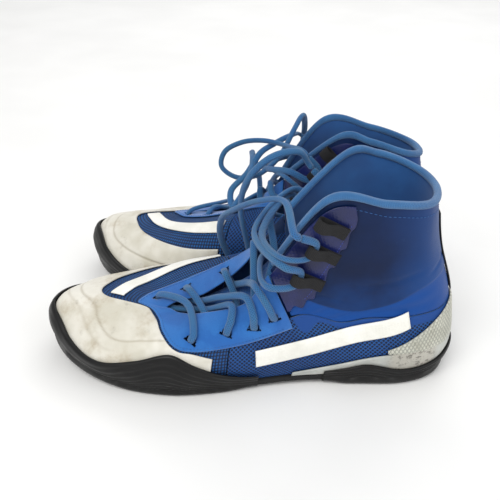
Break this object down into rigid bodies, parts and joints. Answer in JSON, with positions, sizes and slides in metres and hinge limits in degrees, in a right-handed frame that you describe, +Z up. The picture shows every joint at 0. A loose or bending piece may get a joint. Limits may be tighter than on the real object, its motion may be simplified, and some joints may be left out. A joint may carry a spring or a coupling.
{
  "type": "pair of boxing boots",
  "caption": "Pair of ankle-high lace-up boxing boots with split rubber soles, white toe caps, mesh and satin uppers, webbing lace loops and loose laces.",
  "frame": {"origin": "centre of the pair's base on the floor", "axes": "+Z up, toes of the left boot towards -X, left boot at -Y and right boot at +Y"},
  "size_m": [0.307, 0.2339, 0.1585],
  "materials": {
    "outsole_rubber": "moulded",
    "midsole_foam": "matt",
    "sockliner_fabric": "knit",
    "toe_synthetic": "coated synthetic leather",
    "mesh": "open mesh",
    "satin": "satin weave",
    "suede": "microsuede",
    "knit": "rib knit",
    "tongue_padding": "padded knit",
    "strip": "bonded film",
    "webbing": "woven tape",
    "grey_synthetic": "coated synthetic leather",
    "white_film": "bonded film",
    "lace": "braided polyester",
    "aglet_plastic": "clear over print"
  },
  "bodies": {
    "left_boot": {"left_aglet_lateral": "aglet_plastic", "left_aglet_medial": "aglet_plastic", "left_ankle_shaft": "satin", "left_back_stay": "webbing", "left_collar_binding": "knit", "left_eyestay": "suede", "left_foxing": "grey_synthetic", "left_heel_counter": "grey_synthetic", "left_lace": "lace", "left_lace_end_lateral": "lace", "left_lace_end_medial": "lace", "left_lace_loop_lateral_1": "webbing", "left_lace_loop_lateral_2": "webbing", "left_lace_loop_lateral_3": "webbing", "left_lace_loop_medial_1": "webbing", "left_lace_loop_medial_2": "webbing", "left_lace_loop_medial_3": "webbing", "left_loop_strip_lateral": "strip", "left_loop_strip_medial": "strip", "left_midsole": "midsole_foam", "left_outsole_forefoot": "outsole_rubber", "left_outsole_heel": "outsole_rubber", "left_quarter_lateral": "mesh", "left_quarter_medial": "mesh", "left_side_band": "white_film", "left_sockliner": "sockliner_fabric", "left_toe_cap": "toe_synthetic", "left_vamp_band": "white_film", "left_vamp_mesh": "mesh"},
    "left_tongue": {"left_tongue": "tongue_padding"},
    "right_boot": {"right_aglet_lateral": "aglet_plastic", "right_aglet_medial": "aglet_plastic", "right_ankle_shaft": "satin", "right_back_stay": "webbing", "right_collar_binding": "knit", "right_eyestay": "suede", "right_foxing": "grey_synthetic", "right_heel_counter": "grey_synthetic", "right_lace": "lace", "right_lace_end_lateral": "lace", "right_lace_end_medial": "lace", "right_lace_loop_lateral_1": "webbing", "right_lace_loop_lateral_2": "webbing", "right_lace_loop_lateral_3": "webbing", "right_lace_loop_medial_1": "webbing", "right_lace_loop_medial_2": "webbing", "right_lace_loop_medial_3": "webbing", "right_loop_strip_lateral": "strip", "right_loop_strip_medial": "strip", "right_midsole": "midsole_foam", "right_outsole_forefoot": "outsole_rubber", "right_outsole_heel": "outsole_rubber", "right_quarter_lateral": "mesh", "right_quarter_medial": "mesh", "right_side_band": "white_film", "right_sockliner": "sockliner_fabric", "right_toe_cap": "toe_synthetic", "right_vamp_band": "white_film", "right_vamp_mesh": "mesh"},
    "right_tongue": {"right_tongue": "tongue_padding"}
  },
  "joints": [
    {"name": "left_tongue_tilt", "type": "hinge", "parent": "left_boot", "child": "left_tongue", "pos_m": [-0.0875, -0.06241, 0.045], "axis": [0, 1, 0], "range_deg": [0, 15]},
    {"name": "right_boot_lift", "type": "slide", "parent": "left_boot", "child": "right_boot", "axis": [0, 0, 1], "range_m": [0, 0.15]},
    {"name": "right_tongue_tilt", "type": "hinge", "parent": "right_boot", "child": "right_tongue", "pos_m": [-0.0769, 0.06842, 0.045], "axis": [0.2385, 0.9711, 0], "range_deg": [0, 15]}
  ]
}
